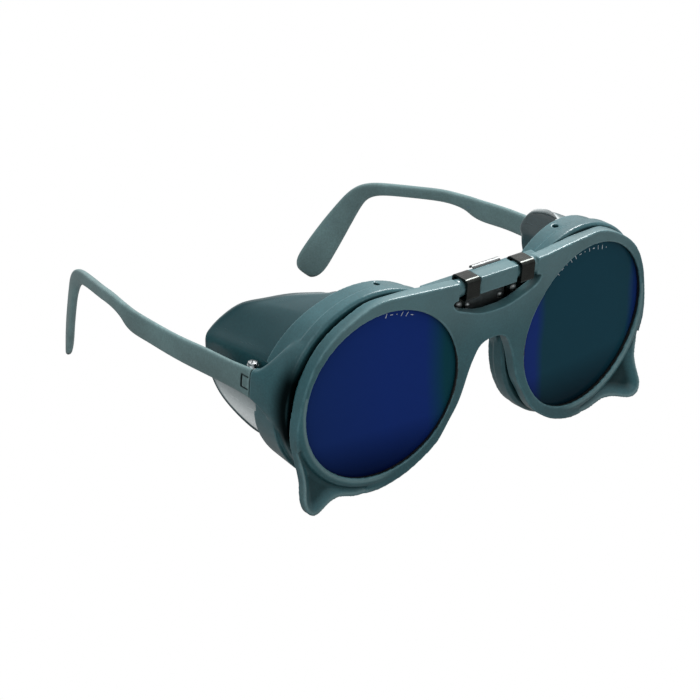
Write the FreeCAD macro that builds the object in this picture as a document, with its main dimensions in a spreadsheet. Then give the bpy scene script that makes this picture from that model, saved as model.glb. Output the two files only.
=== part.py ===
import FreeCAD, Part
import math, os
import Sketcher
from FreeCAD import Vector, Rotation, Placement

# Flip-up welding goggles. Working axes: X to the wearer's left, Y rearward along the temples,
# Z up in the plane of the lenses, origin midway between the two lens centres on the front face
# of the flip-up front. A common placement then pitches the goggles so that they stand level on
# the two pull ears and the two temple ends. "sign" is +1 on the wearer's left, -1 on the right.

CELLS = [
    ("half_spacing", 36.24),   # lens centre to the middle plane
    ("wrap_angle", 5.57),      # each half leans back by this angle
    ("opening_rad", 24.0),     # clear opening in both frames
    ("lens_rad", 25.0),
    ("lens_chamfer", 0.25),
    ("tint_thick", 2.0),
    ("clear_thick", 2.0),
    ("plate_thick", 3.4),      # flip-up front
    ("plate_mid", 1.88),       # how far the flat middle stands in front of the lens centres
    ("lip_depth", 1.5),        # front lip that the tinted lens seats behind
    ("boss_rad", 25.9),        # round boss on the rear of each rim
    ("boss_depth", 4.0),
    ("snap_inner", 23.8),      # inside radius of the retaining rings
    ("snap_thick", 0.7),       # tinted lens ring
    ("rear_snap", 1.0),        # clear lens ring
    ("cup_front", 4.7),        # front face of the rear eye cups behind the lens plane
    ("cup_rad", 27.8),
    ("cup_step", 8.6),         # depth at which a cup steps in to its sleeve
    ("cup_lip", 1.5),          # front lip that the clear lens seats behind
    ("sleeve_rad", 26.9),
    ("sleeve_side", 17.0),     # depth of the sleeve straight out to the side
    ("axis_y", 0.6),           # flip hinge axis
    ("axis_z", 24.3),
    ("bar_depth", 5.0),        # square hinge bar
    ("bar_tall", 5.0),
    ("bar_half", 14.0),
    ("journal_rad", 2.4),      # round ends of the bar, inside the straps
    ("journal_from", 6.6),
    ("journal_to", 14.0),
    ("run_gap", 0.05),         # running clearance
    ("strap_thick", 0.6),
    ("strap_wide", 4.6),
    ("strap_mid", 9.75),
    ("strap_low", 21.25),      # bottom of the strap loop
    ("bridge_front", 4.3),
    ("bridge_thick", 3.0),
    ("bracket_thick", 0.65),
    ("rivet_rad", 0.7),
    ("rivet_head", 1.2),
    ("shield_rad", 24.85),
    ("shield_thick", 0.9),
    ("hinge_x", 61.0),         # temple hinge axis
    ("hinge_y", 23.5),
    ("screw_rad", 0.7),
    ("screw_head", 1.35),
    ("leaf_thick", 0.8),       # temple hinge leaves
    ("lug_end", 19.7),
    ("pitch_angle", 5.337),
    ("shift_y", -62.2763),
    ("shift_z", 28.4713),
]

doc = FreeCAD.newDocument("welding_goggles")
sheet = doc.addObject("Spreadsheet::Sheet", "dims")
for row_number, (alias, value) in enumerate(CELLS, 1):
    sheet.set("A%d" % row_number, alias)
    sheet.set("B%d" % row_number, str(value))
    sheet.setAlias("B%d" % row_number, alias)
doc.recompute()
dims = {alias: float(sheet.get(alias)) for alias, _ in CELLS}

SIDES = ((-1, "right"), (1, "left"))
X_AXIS, Y_AXIS, Z_AXIS = Vector(1, 0, 0), Vector(0, 1, 0), Vector(0, 0, 1)
ORIGIN = Vector(0, 0, 0)

HALF_SPACING = dims["half_spacing"]
WRAP = math.radians(dims["wrap_angle"])
COS_WRAP, SIN_WRAP = math.cos(WRAP), math.sin(WRAP)
AXIS_Y, AXIS_Z = dims["axis_y"], dims["axis_z"]
BRIDGE_FRONT = dims["bridge_front"]
CLEAR_SEAT = dims["cup_front"] + dims["cup_lip"]   # front of the clear lens
BASE = Placement(Vector(0, dims["shift_y"], dims["shift_z"]), Rotation(X_AXIS, dims["pitch_angle"]))
parts = {}


# ---------------------------------------------------------------- places on a leaning half
def wing_point(sign, out=0.0, rear=0.0, z=0.0):
    """A point given outward, rearward and up from the lens centre of one side."""
    return Vector(sign * (HALF_SPACING + out * COS_WRAP - rear * SIN_WRAP),
                  out * SIN_WRAP + rear * COS_WRAP, z)


def wing_polar(sign, radius, angle, rear):
    """A point at a direction in degrees round the lens axis: 0 outward, 90 up."""
    turn = math.radians(angle)
    return wing_point(sign, radius * math.cos(turn), rear, radius * math.sin(turn))


def wing_frame(sign):
    """Frame at the lens centre whose +Y is the lens axis, pointing rearward."""
    return Placement(Vector(sign * HALF_SPACING, 0, 0), Rotation(Z_AXIS, sign * dims["wrap_angle"]))


def wing_cylinder(sign, radius, start, length):
    """A cylinder on the lens axis, from the depth start rearward."""
    axis = Vector(-sign * SIN_WRAP, COS_WRAP, 0)
    return Part.makeCylinder(radius, length, wing_point(sign) + axis * start, axis)


# ---------------------------------------------------------------- shape helpers
def add_feature(name, shape):
    item = doc.addObject("Part::Feature", name)
    item.Shape = shape
    item.Label = name
    item.Placement = BASE
    parts[name] = item


def at_depth(points, y=0.0):
    return [Vector(x, y, z) for x, z in points]


def polygon_face(points):
    return Part.Face(Part.makePolygon(points + points[:1]))


def spline_edge(points, closed=False):
    curve = Part.BSplineCurve()
    curve.interpolate(Points=points, PeriodicFlag=closed)
    return curve.toShape()


def cylinder_between(radius, start, end):
    run = end.sub(start)
    return Part.makeCylinder(radius, run.Length, start, run)


def side_box(sign, x0, x1, y0, y1, z0, z1):
    """A box between the given limits, x counted outward from the middle plane."""
    low, high = sorted((sign * x0, sign * x1))
    return Part.makeBox(high - low, y1 - y0, z1 - z0, Vector(low, y0, z0))


def thick_patch(outer, inner):
    """A solid between two surfaces interpolated through grids of the same size."""
    skin, lining = Part.BSplineSurface(), Part.BSplineSurface()
    skin.interpolate(outer)
    lining.interpolate(inner)
    faces = [skin.toShape(), lining.toShape()]
    su0, su1, sv0, sv1 = skin.bounds()
    lu0, lu1, lv0, lv1 = lining.bounds()
    for skin_edge, lining_edge in ((skin.uIso(su0), lining.uIso(lu0)),
                                   (skin.uIso(su1), lining.uIso(lu1)),
                                   (skin.vIso(sv0), lining.vIso(lv0)),
                                   (skin.vIso(sv1), lining.vIso(lv1))):
        faces.append(Part.makeRuledSurface(skin_edge.toShape(), lining_edge.toShape()))
    shell = Part.makeShell(faces)
    shell.sewShape()
    solid = Part.makeSolid(shell)
    if solid.Volume < 0:
        solid.reverse()
    return solid


# ---------------------------------------------------------------- PartDesign helpers
def new_body(name):
    body = doc.addObject("PartDesign::Body", name + "_body")
    body.Label = name
    return body


def finish_body(name, body, tip, placement):
    body.Tip = tip
    body.Placement = BASE.multiply(placement)
    parts[name] = body


def add_sketch(body, name, role):
    sketch = body.newObject("Sketcher::SketchObject", name)
    plane = [item for item in body.Origin.OriginFeatures if item.Role == role][0]
    sketch.AttachmentSupport = [(plane, "")]
    sketch.MapMode = "FlatFace"
    return sketch


def add_circle(sketch, alias, centre=ORIGIN):
    """A circle whose radius is bound to a spreadsheet cell."""
    index = sketch.addGeometry(Part.Circle(centre, Z_AXIS, dims[alias]), False)
    radius = sketch.addConstraint(Sketcher.Constraint("Radius", index, dims[alias]))
    sketch.setExpression("Constraints[%d]" % radius, "dims." + alias)
    return index


def add_pad(body, name, sketch, alias, midplane=False):
    """A pad whose length is bound to a spreadsheet cell."""
    pad = body.newObject("PartDesign::Pad", name + "_pad")
    pad.Profile = sketch
    pad.Midplane = midplane
    pad.Length = dims[alias]
    pad.setExpression("Length", "dims." + alias)
    doc.recompute()
    return pad


def draw_rounded(sketch, corners):
    """A closed outline of lines; each corner is (x, y, fillet radius)."""
    points = [Vector(x, y, 0) for x, y, _ in corners]
    joints = []   # where the outline enters a corner, where it leaves it, centre of its arc
    for i, point in enumerate(points):
        radius = corners[i][2]
        if radius <= 0:
            joints.append((point, point, None))
            continue
        before = (points[i - 1] - point).normalize()
        after = (points[(i + 1) % len(points)] - point).normalize()
        half = before.getAngle(after) / 2
        setback = radius / math.tan(half)
        centre = point + (before + after).normalize() * (radius / math.sin(half))
        joints.append((point + before * setback, point + after * setback, centre))
    for i, (enter, leave, centre) in enumerate(joints):
        if centre is not None:
            start = math.atan2(enter.y - centre.y, enter.x - centre.x)
            end = math.atan2(leave.y - centre.y, leave.x - centre.x)
            if (end - start) % (2 * math.pi) > math.pi:
                start, end = end, start
            circle = Part.Circle(centre, Z_AXIS, corners[i][2])
            sketch.addGeometry(Part.ArcOfCircle(circle, start, end), False)
        following = joints[(i + 1) % len(joints)][0]
        if (following - leave).Length > 1e-7:
            sketch.addGeometry(Part.LineSegment(leave, following), False)


# ---------------------------------------------------------------- flip-up front
# Outline of one half, (outward, up) from the lens centre, from the brow round the side to the nose.
SIDE_OUTLINE = [
    (0, 27.7), (5, 27.0), (10, 24.9), (15, 21.9), (19, 18.5), (22.8, 12.8), (25.0, 6.5),
    (26.2, 0), (26.5, -5), (25.7, -10.5), (24.7, -15), (24.2, -19.5), (24.75, -22.8),
    (24.7, -25.6), (23.6, -27.5), (21.3, -28.35), (19.0, -28.0), (16.1, -27.2), (13.7, -26.9),
    (11.0, -27.2), (7.3, -28.2), (3, -28.6), (-1.5, -28.4), (-5.3, -27.5), (-10, -25.7),
    (-15, -22.6), (-19, -19.3)]
# (x, z) from the middle plane.
NOSE_OUTLINE = [(13.4, -13.5), (11.2, -10), (9.2, -5), (7.7, 0), (6.2, 3.6), (4.4, 6.2),
                (2.2, 7.2), (0, 7.4)]
BROW = [(28, 27.5), (20, 27.2), (14, 26.9), (0, 26.7), (-14, 26.9), (-20, 27.2), (-28, 27.5)]
# Crescent opening under the hinge bar: lower edge, (x, z), and half width at its top.
CRESCENT = [(-15.7, 21.3), (-15.3, 20.4), (-11, 17.9), (-6, 16.2), (0, 15.6),
            (6, 16.2), (11, 17.9), (15.3, 20.4), (15.7, 21.3)]
CRESCENT_TOP = 15.2
# Space that the front sweeps about the flip axis: (x, radius).
SWING = [(0, 3.56), (17.4, 3.56), (36.24, 3.95), (41.0, 4.1), (52.0, 4.4)]
# Section of a pull ear: (radius from the lens axis, depth of the front face, thickness).
EAR = [(26.4, 0.0, 3.4), (26.9, 0.75, 2.65), (28.0, 0.6, 2.6), (29.4, -0.1, 2.6),
       (31.0, -1.1, 2.6), (33.0, -2.0, 2.6), (35.0, -3.0, 2.5), (37.5, -4.2, 2.4)]
EAR_DIRECTIONS = (-22, -45, -66, -84)   # degrees, 0 outward, -90 down
FRONT_Y, FRONT_DEPTH = -5, 14           # slab of space that holds the whole front
BAR_LOW = AXIS_Z - dims["bar_tall"] / 2


def through_front(edges):
    """The outline carried from front to rear through the flip-up front."""
    prism = Part.Face(Part.Wire(edges)).extrude(Y_AXIS * FRONT_DEPTH)
    prism.translate(Y_AXIS * FRONT_Y)
    return prism


def front_prism():
    half = [(HALF_SPACING + out * COS_WRAP, z) for out, z in SIDE_OUTLINE] + NOSE_OUTLINE
    right, left = [[Vector(sign * x, 0, z) for x, z in half] for sign, _ in SIDES]
    brow = spline_edge([left[0]] + at_depth(BROW) + [right[0]])
    return through_front([brow, spline_edge(right + left[::-1][1:])])


def plate_slab():
    """Plan of the plate, flat in the middle with each wing leaning back, carried upward."""
    slope = math.tan(WRAP)
    reach = 80
    middle = -dims["plate_mid"]
    knee = HALF_SPACING + middle / slope

    def plan_line(offset):
        tip = (reach - HALF_SPACING) * slope + offset / COS_WRAP
        return [Vector(-reach, tip, 0), Vector(-knee, middle + offset, 0),
                Vector(knee, middle + offset, 0), Vector(reach, tip, 0)]

    slab = polygon_face(plan_line(0) + plan_line(dims["plate_thick"])[::-1]).extrude(Z_AXIS * 80)
    slab.translate(Z_AXIS * -42)
    return slab


def crescent_prism():
    top = at_depth([CRESCENT[-1], (CRESCENT_TOP, BAR_LOW), (-CRESCENT_TOP, BAR_LOW), CRESCENT[0]])
    lines = [Part.makeLine(start, end) for start, end in zip(top[:-1], top[1:])]
    return through_front([spline_edge(at_depth(CRESCENT))] + lines)


def hinge_bar():
    """Square bar, turned down to a round journal towards each end."""
    bar = Part.makeBox(2 * dims["bar_half"], dims["bar_depth"], dims["bar_tall"],
                       Vector(-dims["bar_half"], AXIS_Y - dims["bar_depth"] / 2, BAR_LOW))
    around = 4
    for sign, _ in SIDES:
        x0, x1 = sorted((sign * dims["journal_from"], sign * dims["journal_to"]))
        waste = Part.makeBox(x1 - x0, 2 * around, 2 * around,
                             Vector(x0, AXIS_Y - around, AXIS_Z - around))
        waste = waste.cut(cylinder_between(dims["journal_rad"], Vector(x0 - 1, AXIS_Y, AXIS_Z),
                                           Vector(x1 + 1, AXIS_Y, AXIS_Z)))
        bar = bar.cut(waste)
    return bar


def swing_space(gap=0.0):
    """The SWING table revolved about the flip axis on both sides, enlarged by a gap."""
    profile = [Vector(x, radius + gap, 0) for x, radius in SWING]
    face = polygon_face([ORIGIN] + profile + [Vector(SWING[-1][0], 0, 0)])
    face = face.fuse(face.mirror(ORIGIN, X_AXIS))
    turned = Part.makeCompound([half.revolve(ORIGIN, X_AXIS, 360) for half in face.Faces])
    space = turned.Solids[0].fuse(turned.Solids[1:]).removeSplitter()
    space.translate(Vector(0, AXIS_Y, AXIS_Z))
    return space


def ear_and_zone(sign, prism):
    """The flared web of a pull ear, and the zone in which it takes the place of the flat plate."""
    frame = wing_frame(sign)
    front = [Vector(radius, depth, 0) for radius, depth, _ in EAR]
    rear = [Vector(radius, depth + thick, 0) for radius, depth, thick in EAR]
    flare = polygon_face(front + rear[::-1]).revolve(ORIGIN, Y_AXIS, 360)
    flare.Placement = frame
    start, reach = -9, 60
    fan = [Vector(0, start, 0)]
    for angle in EAR_DIRECTIONS:
        turn = math.radians(angle)
        fan.append(Vector(sign * reach * math.cos(turn), start, reach * math.sin(turn)))
    wedge = polygon_face(fan).extrude(Y_AXIS * 22)
    wedge.Placement = frame
    zone = wing_cylinder(sign, 44, start, 18).cut(wing_cylinder(sign, EAR[0][0], start - 1, 20))
    zone = zone.common(wedge).common(prism)
    return flare.common(zone), zone


def flip_frame():
    prism = front_prism()
    plate = prism.common(plate_slab())
    # The brow between the straps is cut away and replaced by the hinge bar.
    notch = Part.makeBox(2 * dims["journal_to"], FRONT_DEPTH, 10,
                         Vector(-dims["journal_to"], FRONT_Y, BAR_LOW))
    plate = plate.cut(crescent_prism()).cut(notch).fuse(hinge_bar())
    # Above the flip axis the rear is rounded off so that it can swing back over the rear frame.
    corner = Part.makeBox(100, 8, 8, Vector(-50, AXIS_Y, AXIS_Z))
    plate = plate.cut(corner.cut(swing_space()))
    boss_start = 1.0   # sunk in the plate
    for sign, _ in SIDES:
        plate = plate.fuse(wing_cylinder(sign, dims["boss_rad"], boss_start,
                                         dims["boss_depth"] - boss_start))
    for sign, _ in SIDES:
        plate = plate.cut(wing_cylinder(sign, dims["opening_rad"], -6, 16))
        plate = plate.cut(wing_cylinder(sign, dims["lens_rad"], dims["lip_depth"], 8))
    for sign, _ in SIDES:
        ear, zone = ear_and_zone(sign, prism)
        plate = plate.cut(zone).fuse(ear)
    return plate.removeSplitter()


# ---------------------------------------------------------------- lenses and retaining rings
def add_disc(name, sign, depth, thick_alias, is_ring):
    """A chamfered lens or a plain retaining ring, padded rearward from a depth."""
    body = new_body(name)
    sketch = add_sketch(body, name + "_sketch", "XY_Plane")
    for alias in ("lens_rad", "snap_inner") if is_ring else ("lens_rad",):
        index = add_circle(sketch, alias)
        sketch.addConstraint(Sketcher.Constraint("Coincident", index, 3, -1, 1))
    tip = pad = add_pad(body, name, sketch, thick_alias)
    body.Tip = pad
    if not is_ring:
        tip = body.newObject("PartDesign::Chamfer", name + "_chamfer")
        rims = ["Edge%d" % i for i, edge in enumerate(pad.Shape.Edges, 1)
                if len(edge.Vertexes) == 1 and abs(edge.Curve.Radius - dims["lens_rad"]) < 1e-6]
        tip.Base = (pad, rims)
        tip.Size = dims["lens_chamfer"]
        tip.setExpression("Size", "dims.lens_chamfer")
        doc.recompute()
    along_axis = Placement(Vector(0, depth, 0), Rotation(X_AXIS, -90))
    finish_body(name, body, tip, wing_frame(sign).multiply(along_axis))


def add_lenses(sign, side):
    for kind, seat, lens_alias, ring_alias in (
            ("tinted", dims["lip_depth"], "tint_thick", "snap_thick"),
            ("clear", CLEAR_SEAT, "clear_thick", "rear_snap")):
        add_disc(kind + "_lens_" + side, sign, seat, lens_alias, False)
        add_disc(kind + "_lens_ring_" + side, sign, seat + dims[lens_alias], ring_alias, True)


# ---------------------------------------------------------------- eye cups, bridge and lugs
# Rear edge of the sleeve: (direction in degrees, 0 outward and 90 up; depth).
SLEEVE_END = [(90, 13.4), (60, 14.2), (30, 15.4), (0, 17.0), (-20, 18.4), (-40, 18.8), (-60, 17.6),
              (-80, 15.2), (-105, 13.0), (-135, 11.5), (-165, 11.0), (165, 11.2), (140, 11.8),
              (115, 12.6)]
SLEEVE_BLANK_END = dims["sleeve_side"] + 3   # before the rear edge is trimmed
# Bridge outline, (x, z).
BRIDGE = [(-20, 24.2), (20, 24.2), (20, -4), (11.0, -10), (9.6, -5), (8.2, 0), (6.4, 4.2),
          (3.8, 7.2), (0, 8.2), (-3.8, 7.2), (-6.4, 4.2), (-8.2, 0), (-9.6, -5), (-11.0, -10),
          (-20, -4)]
# Lug stations: depth, thickness, how much the inner face turns towards the lens centre,
# outer line (x, z) from top to bottom.
LUG = [
    (8.6, 3.4, 0.85, [(52.0, 21.0), (55.6, 19.0), (59.0, 15.4), (61.5, 10.5),
                      (63.1, 4.5), (63.2, -2.5), (61.9, -8.5), (59.8, -12.2)]),
    (11.2, 3.2, 0.70, [(55.0, 18.3), (57.9, 16.3), (60.7, 13.2), (62.8, 9.2),
                       (64.0, 4.5), (64.1, -1.5), (63.1, -5.8), (61.4, -8.6)]),
    (14.2, 2.9, 0.35, [(60.2, 13.0), (61.7, 11.9), (63.1, 10.2), (64.2, 7.8),
                       (64.8, 4.5), (64.8, 0.5), (64.2, -2.8), (63.3, -4.6)]),
    (17.2, 2.6, 0.05, [(63.4, 8.4), (64.1, 7.9), (64.7, 7.0), (65.0, 5.6),
                       (65.05, 3.9), (65.05, 1.2), (64.9, -1.2), (64.3, -2.2)]),
    (dims["lug_end"] + 0.3, 2.5, 0.0, [(64.0, 7.1), (64.5, 6.8), (64.9, 6.1), (65.05, 5.0),
                                       (65.05, 3.6), (65.05, 1.2), (64.9, -0.9), (64.3, -1.6)])]


def sleeve_end(angle):
    """Depth of the sleeve's rear edge in a direction in degrees."""
    ring = sorted(SLEEVE_END)
    ring = [(ring[-1][0] - 360, ring[-1][1])] + ring + [(ring[0][0] + 360, ring[0][1])]
    for (angle0, depth0), (angle1, depth1) in zip(ring[:-1], ring[1:]):
        if angle0 <= angle <= angle1:
            return depth0 + (depth1 - depth0) * (angle - angle0) / (angle1 - angle0)


def sleeve_end_ring(sign, radius):
    points = []
    for angle, depth in SLEEVE_END:
        turn = math.radians(angle)
        points.append(Vector(sign * radius * math.cos(turn), depth, radius * math.sin(turn)))
    return spline_edge(points, True)


def cup(sign):
    """Solid eye cup: front ring, then a slightly smaller sleeve, longer on the temple side."""
    front, step = dims["cup_front"], dims["cup_step"]
    rim, sleeve = dims["cup_rad"], dims["sleeve_rad"]
    bevel, core_rad = 0.7, 20
    profile = [(core_rad, front), (rim - bevel, front), (rim, front + bevel), (rim, step - 0.3),
               (sleeve, step + 0.5), (sleeve - 0.25, SLEEVE_BLANK_END),
               (core_rad, SLEEVE_BLANK_END)]
    face = polygon_face([Vector(radius, depth, 0) for radius, depth in profile])
    body = face.revolve(ORIGIN, Y_AXIS, 360)
    body = body.fuse(Part.makeCylinder(core_rad + 0.5, SLEEVE_BLANK_END, ORIGIN, Y_AXIS))
    # Towards the cheek the sleeve is wider: a larger cylinder set outward and down.
    body = body.fuse(Part.makeCylinder(27.25, SLEEVE_BLANK_END - step,
                                       Vector(sign * 1.15, step, -1.05), Y_AXIS))
    # The rear edge runs deepest below the temple and shallowest beside the nose.
    end = Part.makeRuledSurface(sleeve_end_ring(sign, 15), sleeve_end_ring(sign, 34))
    body = body.cut(end.extrude(Y_AXIS * 30))
    body.Placement = wing_frame(sign)
    return body


def cup_void(sign):
    """Everything that is open inside the eye cup."""
    void = Part.makeCylinder(dims["opening_rad"], 40, Y_AXIS * -5, Y_AXIS)
    void = void.fuse(Part.makeCylinder(dims["lens_rad"], 30, Y_AXIS * CLEAR_SEAT, Y_AXIS))
    void.Placement = wing_frame(sign)
    return void


def lug(sign):
    """Fans out from the side of the cup and sweeps back to the temple hinge."""
    outer, inner = [], []
    for y, thick, turn, line in LUG:
        outer.append([Vector(sign * x, y, z) for x, z in line])
        row = []
        for x, z in line:
            inward = Vector(-1, 0, -turn * (z - 2.0) / 20.0).normalize() * thick
            row.append(Vector(sign * (x + inward.x), y, z + inward.z))
        inner.append(row)
    return thick_patch(outer, inner)


# ---------------------------------------------------------------- side shields
# Rows of the shell, from the top of the cup round the side to below the temple:
# direction of the front end in degrees; x, y, z of the rear edge.
SHIELD_ROWS = [
    (97, 37.5, 14.2, 24.35), (82, 42.5, 20.8, 22.4), (70, 46.5, 27.2, 20.4),
    (58, 50.0, 33.1, 17.5), (46, 52.6, 38.3, 13.9), (34, 54.6, 42.6, 9.2),
    (22, 56.4, 45.6, 3.9), (10, 57.6, 46.3, -1.2), (-2, 57.9, 44.0, -6.6),
    (-14, 57.3, 40.0, -11.4), (-26, 56.0, 34.0, -15.2), (-37, 54.3, 27.8, -17.8),
    (-47, 51.7, 23.4, -18.6)]
SHIELD_FRONT = 9.5    # depth of the front edge inside the sleeve
SHIELD_EYE_X = 36.0   # the shell bulges away from this line
SHIELD_BULGE = 0.6
PEG_ANGLE = SHIELD_ROWS[0][0]
PEG_DEPTH = 11.0


def shield_grid(sign, inset):
    rows = []
    for angle, x, y, z in SHIELD_ROWS:
        radius = dims["shield_rad"] - inset
        front = wing_polar(sign, radius, angle, SHIELD_FRONT)
        mouth = wing_polar(sign, radius, angle, sleeve_end(angle) + 0.3)
        inward = Vector(SHIELD_EYE_X - x, 0, -z * 0.9).normalize()
        edge = Vector(sign * (x + inward.x * inset), y, z + inward.z * inset)
        span = edge.sub(mouth)
        row = [front, (front + mouth) * 0.5, mouth]
        for share in (0.3, 0.65):
            point = mouth + span * share
            out = Vector(point.x - sign * SHIELD_EYE_X, 0, point.z).normalize()
            arch = 4 * share * (1 - share) * min(1.0, span.Length / 22.0)
            row.append(point + out * (SHIELD_BULGE * arch))
        row.append(edge)
        rows.append(row)
    return rows


def peg(sign, radius, start, end):
    """Radial peg at the top of the sleeve, between two distances from the lens axis."""
    return cylinder_between(radius, wing_polar(sign, start, PEG_ANGLE, PEG_DEPTH),
                            wing_polar(sign, end, PEG_ANGLE, PEG_DEPTH))


def side_shield(sign):
    shell = thick_patch(shield_grid(sign, 0.0), shield_grid(sign, dims["shield_thick"]))
    # An invalid shell can't be trusted in a boolean, so it is left without its peg.
    return shell.fuse(peg(sign, 0.8, 24.4, 27.3)) if shell.isValid() else shell


# ---------------------------------------------------------------- flip hinge
STRAP_THICK = dims["strap_thick"]
STRAP_FRONT = AXIS_Y - dims["journal_rad"] - dims["run_gap"]   # inside faces of the loop
STRAP_BACK = AXIS_Y + dims["journal_rad"] + dims["run_gap"]
STRAP_TOP = AXIS_Z + dims["journal_rad"] + dims["run_gap"]
STRAP_TAIL_LOW = 14.4
STRAP_RIVET_Z = 17.6
BRACKET_Y = BRIDGE_FRONT - dims["bracket_thick"]
BRACKET_HALF, BRACKET_LOW, BRACKET_TOP = 13.7, 13.6, 20.7
SPRING_THICK = 0.45
SPRING_Y = BRACKET_Y - SPRING_THICK
SPRING_HALF, SPRING_LOW, SPRING_TALL = 4.8, 14.4, 11.9
FOOT_HALF, FOOT_TALL = 7.1, 3.6
CURL_RAD = 0.95
HEAD_DEPTH = 0.6
# Pairs of rivets: x, z, front of the strap or leaf, head radius, shaft radius.
STRAP_RIVETS = [(x, STRAP_RIVET_Z, STRAP_BACK - STRAP_THICK, dims["rivet_head"], dims["rivet_rad"])
                for x in (-dims["strap_mid"], dims["strap_mid"])]
LEAF_RIVETS = [(x, 16.2, SPRING_Y, 0.95, 0.5) for x in (-5.8, 5.8)]
RIVETS = STRAP_RIVETS + LEAF_RIVETS


def add_strap(sign, side):
    """A loop round the journal whose doubled tail hangs down in front of the bracket."""
    name = "hinge_strap_" + side
    low = dims["strap_low"]
    body = new_body(name)
    section = add_sketch(body, name + "_sketch", "YZ_Plane")
    draw_rounded(section, [
        (STRAP_FRONT - STRAP_THICK, STRAP_TOP + STRAP_THICK, 1.25),
        (STRAP_FRONT - STRAP_THICK, low, 0.9),
        (STRAP_BACK - STRAP_THICK, low, 0.3),
        (STRAP_BACK - STRAP_THICK, STRAP_TAIL_LOW, 0),
        (STRAP_BACK + STRAP_THICK, STRAP_TAIL_LOW, 0),
        (STRAP_BACK + STRAP_THICK, STRAP_TOP + STRAP_THICK, 1.25)])
    draw_rounded(section, [
        (STRAP_FRONT, STRAP_TOP, 0.65), (STRAP_FRONT, low + STRAP_THICK, 0.3),
        (STRAP_BACK, low + STRAP_THICK, 0.3), (STRAP_BACK, STRAP_TOP, 0.65)])
    add_pad(body, name, section, "strap_wide", midplane=True)
    hole = add_sketch(body, name + "_hole_sketch", "XZ_Plane")
    add_circle(hole, "rivet_rad", Vector(0, STRAP_RIVET_Z, 0))
    pocket = body.newObject("PartDesign::Pocket", name + "_hole")
    pocket.Profile = hole
    pocket.Midplane = True
    pocket.Type = 1   # through all
    doc.recompute()
    finish_body(name, body, pocket, Placement(Vector(sign * dims["strap_mid"], 0, 0), Rotation()))


def rivet_hole(rivet):
    x, z, _, _, shaft_rad = rivet
    return Part.makeCylinder(shaft_rad, 20, Vector(x, 0, z), Y_AXIS)


def rivet_solid(rivet):
    """Domed head in front, shaft, and tapered tail behind the bridge."""
    x, z, seat, head_rad, shaft_rad = rivet
    dome_rad = head_rad * 1.3
    dome = Part.makeSphere(dome_rad, Vector(x, seat + math.sqrt(dome_rad ** 2 - head_rad ** 2), z))
    head = Part.makeCylinder(head_rad, HEAD_DEPTH, Vector(x, seat - HEAD_DEPTH, z), Y_AXIS)
    head = head.common(dome)
    back = BRIDGE_FRONT + dims["bridge_thick"]
    shaft = Part.makeCylinder(shaft_rad, back + 0.5 - seat, Vector(x, seat, z), Y_AXIS)
    tail = Part.makeCone(head_rad * 0.95, head_rad * 0.7, 0.55, Vector(x, back, z), Y_AXIS)
    return head.fuse(shaft).fuse(tail).removeSplitter()


def hinge_bracket():
    bracket = Part.makeBox(2 * BRACKET_HALF, dims["bracket_thick"], BRACKET_TOP - BRACKET_LOW,
                           Vector(-BRACKET_HALF, BRACKET_Y, BRACKET_LOW))
    for rivet in RIVETS:
        bracket = bracket.cut(rivet_hole(rivet))
    return bracket.removeSplitter()


def detent_leaf():
    """Upright leaf on a wider foot, its upper end curled rearward."""
    blade = Part.makeBox(2 * SPRING_HALF, SPRING_THICK, SPRING_TALL,
                         Vector(-SPRING_HALF, SPRING_Y, SPRING_LOW))
    foot = Part.makeBox(2 * FOOT_HALF, SPRING_THICK, FOOT_TALL,
                        Vector(-FOOT_HALF, SPRING_Y, SPRING_LOW))
    curl_z = SPRING_LOW + SPRING_TALL
    curl_start = Vector(-SPRING_HALF, SPRING_Y + CURL_RAD, curl_z)
    curl, bore = [Part.makeCylinder(radius, 2 * SPRING_HALF, curl_start, X_AXIS)
                  for radius in (CURL_RAD, CURL_RAD - SPRING_THICK)]
    lower_half = Part.makeBox(12, 3, 3, Vector(-6, SPRING_Y, curl_z - 3))
    leaf = blade.fuse(foot).fuse(curl.cut(bore).cut(lower_half)).removeSplitter()
    for rivet in LEAF_RIVETS:
        leaf = leaf.cut(rivet_hole(rivet))
    return leaf


# ---------------------------------------------------------------- temple hinges
HINGE_X, HINGE_Y = dims["hinge_x"], dims["hinge_y"]
SEAT_X = 62.55                          # outer face of both leaves
LEAF_X = SEAT_X - dims["leaf_thick"]
KNUCKLE_RAD = 1.5
LOWER_KNUCKLE = (-1.6, 0.0)             # z limits
UPPER_KNUCKLE = (4.0, 5.8)
MIDDLE_KNUCKLE = (LOWER_KNUCKLE[1] + dims["run_gap"], UPPER_KNUCKLE[0] - dims["run_gap"])
# Studs moulded in: (y, z), and the x where they end.
FRONT_STUDS, FRONT_STUD_END = [(14.9, 0.4), (14.9, 4.2)], 63.9
TEMPLE_STUDS, TEMPLE_STUD_END = [(25.8, 2.0), (28.6, 2.0)], 64.0


def studs(sign, places, end):
    return [cylinder_between(0.6, Vector(sign * (SEAT_X - 0.4), y, z), Vector(sign * end, y, z))
            for y, z in places]


def front_studs(sign):
    return studs(sign, FRONT_STUDS, FRONT_STUD_END)


def temple_studs(sign):
    return studs(sign, TEMPLE_STUDS, TEMPLE_STUD_END)


def hinge_cylinder(sign, radius, z0, z1):
    return Part.makeCylinder(radius, z1 - z0, Vector(sign * HINGE_X, HINGE_Y, z0), Z_AXIS)


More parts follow.
